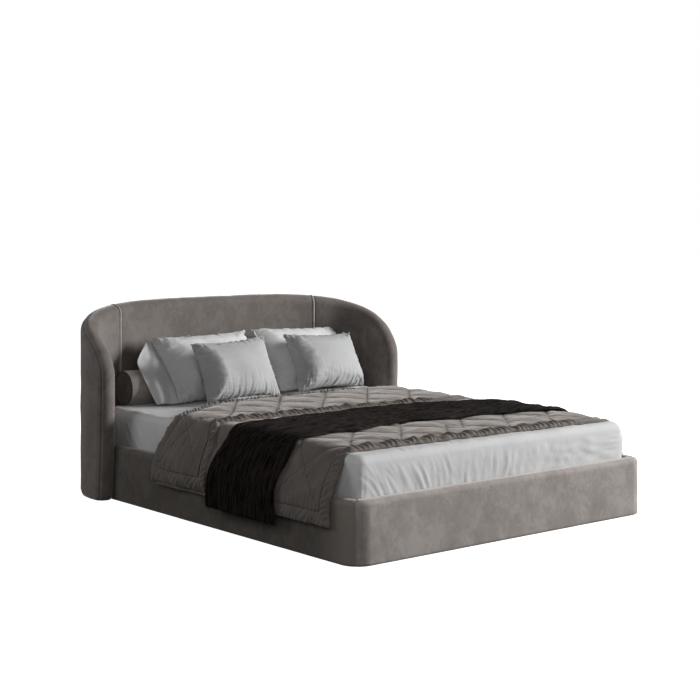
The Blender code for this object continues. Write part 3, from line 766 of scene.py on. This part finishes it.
def drape_path(lift, hem):
    """Section of a cover over the bed: arc length from the left hem, x, z and outward normals."""
    top = MATTRESS_TOP + 0.007 + lift
    right = [(0.0, top), (0.30, top), (0.60, top), (0.745, top - 0.001), (0.785, top - 0.010)]
    right += [(0.815 + 0.6 * lift, top - 0.034), (0.838 + 0.8 * lift, top - 0.080)]
    right += [(0.868 + lift, RAIL_TOP + 0.042), (BASE_HALF + 0.004 + lift, RAIL_TOP - 0.006)]
    right += [(BASE_HALF + 0.010 + lift, 0.215), (BASE_HALF + 0.011 + lift, hem)]
    right = np.array(right)
    line = np.concatenate([right[::-1] * (-1, 1), right[1:]])
    run = run_length(*line.T)
    even = np.linspace(0, run[-1], 1201)
    x, z = (smoothed(smoothed(np.interp(even, run, a), 51), 51) for a in line.T)
    run = run_length(x, z)
    tx, tz = np.gradient(x, run), np.gradient(z, run)
    size = np.hypot(tx, tz)
    return run, x, z, -tz / size, tx / size


def on_path(path, u, height):
    run, x, z, nx, nz = path
    n0, n1 = np.interp(u, run, nx), np.interp(u, run, nz)
    return np.interp(u, run, x) + height * n0, np.interp(u, run, z) + height * n1


def by_x(path, u, table):
    """Value along the path from a table of (x, value); hanging parts take the end values."""
    x = np.interp(u, path[0], path[1])
    xs, values = zip(*table)
    return np.interp(x, xs, values)


def hem_folds(seed, run, from_edge, wave):
    """Gathers across a hem band, from 0 to 1: rounded ridges with tight valleys, a little uneven."""
    flat = 0 * run
    phase = run / wave + 0.6 * from_edge / wave + 0.55 * waves(seed, 5.0 * wave, run, flat)
    ridge = np.abs(np.sin(pi * phase)) ** 0.7
    return ridge * (0.72 + 0.28 * waves(seed + 1, 3.0 * wave, run, from_edge))


def quilt_layer(name, nodes, lift, foot, head, pitch, seed, hem, press=None, hang_pitch=0.33):
    """Diamond-quilted layer with gathered hem bands along all four edges."""
    path = drape_path(lift, hem)
    total = path[0][-1]
    u = np.linspace(0.0, total, 500)[:, None]
    share = np.linspace(0.0, 1.0, 270)[None, :]
    y_foot, y_head = by_x(path, u, foot), by_x(path, u, head)
    y = y_foot + share * (y_head - y_foot)
    flat_u = np.minimum(u, total - u)
    from_side = flat_u + 0 * y
    from_foot, from_head = y - y_foot, y_head - y
    from_end = np.minimum(from_foot, from_head)
    from_edge = np.minimum(from_side, from_end)
    lattice_u = np.where(flat_u < HANG, flat_u / hang_pitch, HANG / hang_pitch + (flat_u - HANG) / pitch[0])
    lattice_u = lattice_u - HEM_BAND / hang_pitch
    lattice_v = (from_foot - HEM_BAND) / pitch[1]
    warp = 0.020 * waves(seed + 9, 0.5, u, y)
    first, second = lattice_u + lattice_v + warp, lattice_u - lattice_v + warp
    near_first, near_second = (np.abs(a - np.round(a)) * CELL_HEIGHT for a in (first, second))
    inside = from_edge > HEM_BAND
    stitch = np.abs(from_edge - HEM_BAND)
    line = np.where(inside, np.minimum(np.minimum(near_first, near_second), stitch), stitch)
    hanging = smooth_step(HANG - flat_u, 0.0, 0.12)
    puff = 0.12 * (1 - np.exp(-line / 0.006)) + 0.88 * (1 - np.exp(-line / 0.055))
    body = 0.0120 + puff * (0.0140 - 0.0045 * hanging)
    pucker = 0.0
    for i, near, across in ((0, near_first, lattice_v - lattice_u), (1, near_second, lattice_v + lattice_u)):
        pucker = pucker + waves(seed + i, 0.034, across * CELL_HEIGHT, near * 0.25) * np.exp(-near / 0.028)
    rumple = waves(seed + 3, 0.110, u * 0.9, y) * 0.0013 + waves(seed + 4, 0.040, u * 0.9, y) * 0.0004
    drape = 0.0026 * np.abs(waves(seed + 8, 0.045, y, u * 0.22))
    rumple = rumple + (drape + 0.0016 * waves(seed + 10, 0.022, y, u * 0.16)) * hanging
    near_side = smooth_step(from_end - from_side, -0.004, 0.004)
    folds = near_side * hem_folds(seed + 2, y, from_side, 0.028)
    folds = folds + (1 - near_side) * hem_folds(seed + 5, u, from_end, 0.030)
    band = np.clip(from_edge / HEM_BAND, 0, 1)
    across_band = np.sin(pi * np.clip(0.10 + 0.86 * band, 0, 1)) ** 0.6
    fold_height = (0.024 - 0.012 * (from_head < from_foot)) * (1 - 0.52 * np.maximum(hanging, near_side))
    fold_height *= 1 - 0.8 * smooth_step(u, 0.72 * total, 0.78 * total)
    hem_body = 0.003 + across_band * (0.008 + fold_height * folds)
    thick = np.where(inside, body + 0.0006 * pucker + rumple, hem_body)
    thick = np.maximum(thick, 0.003) * (0.4 + 0.6 * smooth_step(from_edge, 0.0, 0.006))
    if press is not None:
        edge = by_x(path, u, press)
        pressed = smooth_step(y, edge - 0.02, edge + 0.06)
        thick = thick * (1 - pressed) + np.minimum(thick, 0.010) * pressed
    along = np.where(near_side > 0.5, y, u)
    ripple = 0.0026 * waves(seed + 7, 0.070, along, 0 * y) * np.exp(-from_edge / 0.030)
    swing = hanging * (0.005 + 0.004 * waves(seed + 6, 0.35, y, 0.3 * u))
    under = swing + np.maximum(ripple, 0)
    grids = []
    for height in (under + thick, under):
        x, z = on_path(path, np.clip(u - 0.5 * ripple * near_side, 0, total), height)
        grids.append(np.stack([x, y + ripple * (1 - near_side), z], -1))
    points, faces = closed_sheet(*grids)
    fields = np.stack([first, second, from_edge], -1).reshape(-1, 3)
    obj = piece(name, points, faces, QUILT_CLOTH, nodes, np.concatenate([fields, fields]))


def quilts():
    foot = [(-0.90, 0.140), (-0.86, 0.145), (-0.76, 0.165), (0.0, 0.148)]
    foot += [(0.70, 0.116), (0.82, 0.128), (0.90, 0.150)]
    middle = [(-0.90, 1.010), (-0.84, 1.030), (-0.76, 1.120), (0.0, 1.100), (0.76, 1.040), (0.90, 1.020)]
    head = [(-0.90, 1.455), (-0.83, 1.440), (-0.75, 1.480), (-0.65, 1.535)]
    head += [(-0.44, 1.690), (-0.20, 1.735), (0.70, 1.740), (0.90, 1.700)]
    below = [(x, y - 0.012) for x, y in head]
    low_hem = QUILT_HEM - 0.008
    quilt_layer("quilt_under", ["quilt_lower"], 0.0, foot, below, (0.27, 0.32), 61, low_hem, press=middle)
    high_hem = QUILT_HEM + 0.012
    pitch = (0.27, 0.34)
    quilt_layer("quilt_over", ["quilt_turnback"], 0.012, middle, head, pitch, 81, high_hem, hang_pitch=0.42)


def throw():
    """Ribbed throw laid across the bed, its ribs running from hem to hem."""
    path = drape_path(0.026, THROW_HEM)
    total = path[0][-1]
    u = np.linspace(0.0, total, 330)[:, None]
    share = np.linspace(0.0, 1.0, 300)[None, :]
    near = [(-0.90, 0.462), (-0.84, 0.470), (-0.76, 0.485), (-0.50, 0.500)]
    near += [(-0.10, 0.560), (0.10, 0.500), (0.40, 0.495), (0.77, 0.432), (0.90, 0.430)]
    far = [(-0.90, 0.968), (-0.84, 0.965), (-0.76, 0.995), (-0.30, 1.020)]
    far += [(0.20, 0.985), (0.50, 0.930), (0.80, 0.850), (0.90, 0.830)]
    y_near = by_x(path, u, near) + 0.012 * waves(91, 0.33, u, 0 * u)
    y_far = by_x(path, u, far) + 0.010 * waves(92, 0.30, u, 0 * u)
    bunch = share + 0.010 * waves(93, 0.16, share, u * 0.35)
    y = y_near + bunch * (y_far - y_near)
    phase = share * RIBS + 0.55 * waves(94, 0.9, u, share * 3) + 0.12 * waves(99, 0.2, u, share * 4)
    rib = np.abs(np.sin(pi * phase)) ** 0.7 * (0.7 + 0.3 * waves(89, 0.10, u, np.floor(phase) * 0.37))
    folds = 0.5 + 0.5 * waves(95, 0.15, share, u * 0.16)
    broad = 0.5 + 0.5 * waves(96, 0.30, share * 1.2, u * 0.25)
    flat_u = np.minimum(u, total - u)
    hanging = smooth_step(0.33 - flat_u, 0.0, 0.14)
    under = hanging * (0.010 + 0.007 * broad) + 0.0015
    body = 0.002 + 0.0070 * rib + 0.014 * folds * broad * (1 - 0.4 * hanging)
    body = body * (0.4 + 0.6 * smooth_step(np.minimum(share, 1 - share), 0.0, 0.015))
    strand = 0.0040 * waves(97, 0.020, share, 0 * u) + 0.002 * waves(98, 0.05, share, 0 * u)
    low_end = np.exp(-flat_u / 0.014) * strand
    grids = []
    for height in (under + body, under + 0 * body):
        x, z = on_path(path, u + 0 * y, height)
        grids.append(np.stack([x, y, z + low_end], -1))
    points, faces = closed_sheet(*grids)
    obj = piece("bed_throw", points, faces, THROW_KNIT, ["throw"])


# --- pillows


def crowned(width, height, thick, seed):
    """Points and faces of a filled pillow with thin seams, pointed corners and sides drawn in.

    Its front falls away evenly to the left of a curved crest, and is rounded to the right of it.
    """
    nu, nv = 64, round(64 * height / width)
    spread = [np.sin(np.linspace(-1, 1, n + 1) * 0.46 * pi) / sin(0.46 * pi) for n in (nu, nv)]
    u, v = np.meshgrid(*spread)
    crest = -0.93 + 0.40 * (1 - v * v) ** 0.6 + 0.03 * waves(seed + 5, 0.035, v * height / 2, 0 * v)
    left, right = np.clip((crest - u) / (1 + crest), 0, 1), np.clip((u - crest) / (1 - crest), 0, 1)
    slope = np.where(u < crest, 1 - left**1.45, (1 - right**2.4) ** 0.55)
    crown = slope * (1 - np.abs(v) ** 2.3) ** 0.50
    lumps = 1 + 0.05 * waves(seed, 0.22, u * width / 2, v * height / 2)
    x = u * width / 2 * (1 - 0.055 * (1 - v * v) * u * u)
    z = v * height / 2 * (1 - 0.060 * (1 - u * u) * v * v)
    sides = [np.stack([x, sign * thick / 2 * crown * lumps, z], -1).reshape(-1, 3) for sign in (-1, 1)]
    faces = grid_faces(nv + 1, nu + 1) + [f[::-1] for f in grid_faces(nv + 1, nu + 1, start=u.size)]
    return np.concatenate(sides), faces


def settle(name, points, faces):
    """Lets cloth under pressure settle from a form, no point moving further than SWELL; a smoothed mesh."""
    mesh = new_mesh(name + "_cloth", points, faces)
    obj = add_object(name + "_cloth", mesh)
    settings = obj.modifiers.new("Cloth", "CLOTH").settings
    settings.effector_weights.gravity = 0.0
    for key, value in CLOTH.items():
        setattr(settings, key, value)
    for frame_number in range(1, 19):
        bpy.context.scene.frame_set(frame_number)
    moved = mesh_points(obj.evaluated_get(bpy.context.evaluated_depsgraph_get()).to_mesh())
    start = mesh_points(mesh)
    obj.modifiers.clear()
    step = moved - start
    reach = np.linalg.norm(step, axis=1, keepdims=True) + 1e-9
    mesh.vertices.foreach_set("co", (start + step * np.minimum(1, SWELL / reach)).reshape(-1))
    smooth = obj.modifiers.new("Smooth", "SUBSURF")
    smooth.levels = smooth.render_levels = 1
    result = bpy.data.meshes.new_from_object(obj.evaluated_get(bpy.context.evaluated_depsgraph_get()))
    bpy.data.objects.remove(obj, do_unlink=True)
    return result


def mesh_points(mesh, field="co"):
    values = np.empty(len(mesh.vertices) * 3)
    mesh.vertices.foreach_get(field, values)
    return values.reshape(-1, 3)


def edge_creases(width, height, a, b, seed):
    """Fine creases running inwards from each seam; a and b go from the pillow's middle."""
    total = 0.0
    for depth, along, reach in (
        (width / 2 + a, b, 0.135),
        (width / 2 - a, b, 0.055),
        (height / 2 + b, a, 0.100),
        (height / 2 - b, a, 0.045),
    ):
        depth = np.clip(depth, 0, None)
        ragged = reach * (1.0 + 0.55 * waves(seed + 3, 0.045, along, 0 * along))
        fan = along * (1 + 0.8 * depth)
        fine = np.abs(waves(seed, 0.019, fan, depth * 0.13)) * 2 - 0.7
        wide = waves(seed + 1, 0.050, fan, depth * 0.25)
        total = total + (0.0025 * fine + 0.0022 * wide) * np.exp(-((depth / ragged) ** 2))
        seed += 7
    return total


def set_pillow(name, node, mat, seed, size, thick, place, turn, lean, roll):
    """Settles a pillow, creases it, and leans it back; `place` is the middle of its lower edge."""
    width, height = size
    mesh = settle(name, *crowned(width, height, thick, seed))
    points, normals = mesh_points(mesh), mesh_points(mesh, "normal")
    faces = [list(p.vertices) for p in mesh.polygons]
    span = points.max(0) - points.min(0)
    points *= (width / span[0], 1.0, height / span[2])
    points += normals * edge_creases(width, height, points[:, 0], points[:, 2], seed)[:, None]
    points[:, 2] += height / 2
    points[:, 1] *= (1 - 0.30 * (points[:, 2] / height - 0.30)) * np.where(points[:, 1] > 0, 0.55, 1.0)
    spin = Matrix.Identity(3)
    for degrees, axis in ((turn, "Z"), (-lean, "X"), (roll, "Y")):
        spin = spin @ Matrix.Rotation(radians(degrees), 3, axis)
    points = points @ np.array(spin).T + place
    rest = MATTRESS_TOP + 0.0062
    points[:, 2] = np.maximum(points[:, 2], rest + 0.1 * (points[:, 2] - rest))
    piece(name, points, faces, mat, [node])


def pillows():
    for row, where, size, thick, place, *turns in (
        ("back", "left", (0.652, 0.405), 0.190, (-0.154, 1.926), 4.6, 39.0, -1.0),
        ("back", "right", (0.613, 0.412), 0.180, (0.464, 1.915), 4.1, 38.5, 1.5),
        ("front", "left", (0.483, 0.332), 0.205, (-0.172, 1.757), 3.2, 24.7, -1.0),
        ("front", "right", (0.512, 0.318), 0.205, (0.484, 1.856), 7.6, 22.9, 1.0),
    ):
        front = row == "front"
        kind, mat = ("cushion", CASE_COTTON) if front else ("pillow", BACK_COTTON_PAINTED_LIGHT)
        seed = 101 + 2 * front + (where == "right")
        place = (*place, MATTRESS_TOP + 0.016 + 0.006 * front)
        set_pillow(f"{kind}_{where}", f"{kind}_{row}_{where}", mat, seed, size, thick, place, *turns)
    case_flap()


def case_flap():
    """Open end of the left pillowcase, drooping past the pillow's end in soft folds."""
    seam = [(-0.474, 2.160, 0.736), (-0.452, 2.082, 0.640), (-0.440, 1.992, 0.530), (-0.446, 1.912, 0.436)]
    outer = [(-0.512, 2.160, 0.742), (-0.613, 2.100, 0.640), (-0.646, 1.955, 0.558), (-0.600, 1.920, 0.4365)]
    down = np.linspace(0, 1, 90)[:, None]
    q = np.linspace(0, 1, 44)[None, :]
    start, end = (
        np.stack([smoothed(np.interp(down[:, 0] * run[-1], run, a), 25) for a in line], -1)[:, None, :]
        for line, run in ((line, run_length(*line)) for line in (np.array(seam).T, np.array(outer).T))
    )
    away = np.array([-0.45, -0.70, 0.30])
    away /= np.linalg.norm(away)
    sway = 0.022 * np.sin(2 * pi * (1.35 * q - 0.9 * down) + 0.6) * smooth_step(down, 0.05, 0.75)
    sway = sway * np.sin(pi * q * 0.5) + 0.012 * np.sin(pi * q) * down
    sway = sway + 0.0025 * waves(121, 0.06, q * 0.12, down * 0.3)
    top = start + q[..., None] * (end - start) + sway[..., None] * away
    top[..., 2] = np.maximum(top[..., 2], MATTRESS_TOP + 0.0075)
    points, faces = closed_sheet(top, top - 0.0016 * away)
    obj = piece("case_flap", points, faces, BACK_COTTON_PAINTED_LIGHT, ())


def bolster():
    """Roll cushion along X with piped, slightly domed ends; painted light on its body and painted shade on
    its ends.
    """
    low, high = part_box("bolster")
    radius = (high.z - low.z) / 2
    cy, cz = (low.y + high.y) / 2 - FOOT, (low.z + high.z) / 2
    x0, x1 = low.x, high.x
    turn = np.linspace(0, 2 * pi, 120, endpoint=False)
    dome = [(0.007 * (1 - f * f), f * (radius - 0.004)) for f in np.linspace(0.03, 1.0, 12)]
    rows = [(x0 + 0.007 - rise, r) for rise, r in dome]
    middle = np.linspace(x0 + 0.010, x1 - 0.010, 50)
    rows += [(x, radius - 0.002 + 0.003 * sin(pi * (x - x0) / (x1 - x0))) for x in middle]
    rows += [(x1 - 0.007 + rise, r) for rise, r in dome[::-1]]
    x, r = np.array(rows).T[:, :, None]
    ends = np.minimum(x - x0, x1 - x)
    gather = 0.0016 * np.exp(-ends / 0.020) * waves(111, 0.22, np.cos(turn), np.sin(turn))
    around = 1.4 * radius
    crease = 0.0014 * waves(112, 0.09, around * np.cos(turn), around * np.sin(turn), 0.5 * x)
    reach = r + (gather + crease) * (r > 0.8 * radius)
    rings = np.stack([x + 0 * reach, cy + reach * np.cos(turn), cz + reach * np.sin(turn)], -1)
    obj = skin("bolster_roll", rings, ROLL_VELVET_PAINTED_LIGHT, ["bolster"])
    # Painted shade: the end faces take the darker velvet copy.
    obj.data.materials.append(BOLSTER_END_PAINTED_SHADE)
    for face in obj.data.polygons:
        face.material_index = int(abs(face.normal.x) > 0.8)
    t = np.append(turn, 0.0)[:, None]
    a = 2 * pi * np.arange(10) / 10
    r = radius - 0.001 + 0.0028 * np.cos(a)
    for end, word in ((x0 + 0.008, "left"), (x1 - 0.008, "right")):
        rings = np.stack([end + 0.0028 * np.sin(a) + 0 * t, cy + r * np.cos(t), cz + r * np.sin(t)], -1)
        faces = grid_faces(len(rings), len(a), wrap=True)
        piece("bolster_piping_" + word, rings, faces, PIPING_DARK, ())


# --- camera, stage


def camera():
    """Level view from the front left, with the frame shifted down on to the bed."""
    data = bpy.data.cameras.new("view")
    data.sensor_width = 36.0
    data.lens = LENS
    data.shift_y = SHIFT_DOWN
    data.clip_end = 60.0
    cam = add_object("view", data)
    cam.location = (EYE_X, FOOT + EYE_Y, EYE_HEIGHT)
    cam.rotation_euler = (radians(90.0), 0.0, radians(VIEW_TURN))
    bpy.context.scene.camera = cam


def area_light(name, place, target, size, energy):
    """Square light of the given side, aimed at the target."""
    data = bpy.data.lights.new(name, "AREA")
    data.size = size
    data.energy = energy
    obj = add_object(name, data)
    obj.location = place
    obj.rotation_euler = (Vector(target) - Vector(place)).to_track_quat("-Z", "Y").to_euler()


def studio_world():
    """White behind everything that the camera sees, and a dim sky that lights the bed from above."""
    world = bpy.data.worlds.new("studio")
    bpy.context.scene.world = world
    world.use_nodes = True
    tree = world.node_tree
    tree.nodes.clear()
    direction = add_node(tree, "ShaderNodeTexCoord").outputs["Generated"]
    up = add_node(tree, "ShaderNodeSeparateXYZ", {0: direction}).outputs[2]
    sky = add_node(tree, "ShaderNodeMapRange", {"Value": up, "From Min": -0.15, "From Max": 0.10})
    lit = add_node(tree, "ShaderNodeBackground", {"Color": sky.outputs[0], "Strength": 0.14})
    seen = add_node(tree, "ShaderNodeBackground", {"Color": (1, 1, 1, 1), "Strength": 1.0})
    camera_ray = add_node(tree, "ShaderNodeLightPath").outputs["Is Camera Ray"]
    mix = add_node(tree, "ShaderNodeMixShader", {0: camera_ray, 1: lit.outputs[0], 2: seen.outputs[0]})
    add_node(tree, "ShaderNodeOutputWorld", {"Surface": mix.outputs[0]})


def stage():
    bpy.context.scene.view_settings.view_transform = "Standard"
    studio_world()
    mesh = bpy.data.meshes.new("floor")
    reach = 30.0
    corners = [(x * reach, y * reach, 0) for x, y in ((-1, -1), (1, -1), (1, 1), (-1, 1))]
    mesh.from_pydata(corners, [], [(0, 1, 2, 3)])
    floor = add_object("floor", mesh)
    g = Graph("pale_floor", 0.9, specular=0.1)
    g.shade({"Base Color": g.ramp(g.noise(0.6), (0.3, 0.90), (0.7, 0.92))})
    g.shade({"Emission Color": (1, 1, 1, 1), "Emission Strength": 0.95})
    mesh.materials.append(g.mat)
    floor.visible_diffuse = floor.visible_glossy = False
    area_light("key", (7.1, -4.16, 2.85), (0.0, 0.0, 0.35), 3.0, 1190)
    area_light("head_fill", (-3.2, 1.8, 1.6), (-0.5, 0.6, 0.5), 1.6, 24)
    area_light("corner_fill", (-2.4, -2.8, 1.3), (-0.6, -0.9, 0.3), 1.2, 18)


finish_frame_nodes()
headboard()
base()
mattress_block()
head_infill()
fitted_sheet()
quilts()
throw()
pillows()
bolster()
camera()
stage()
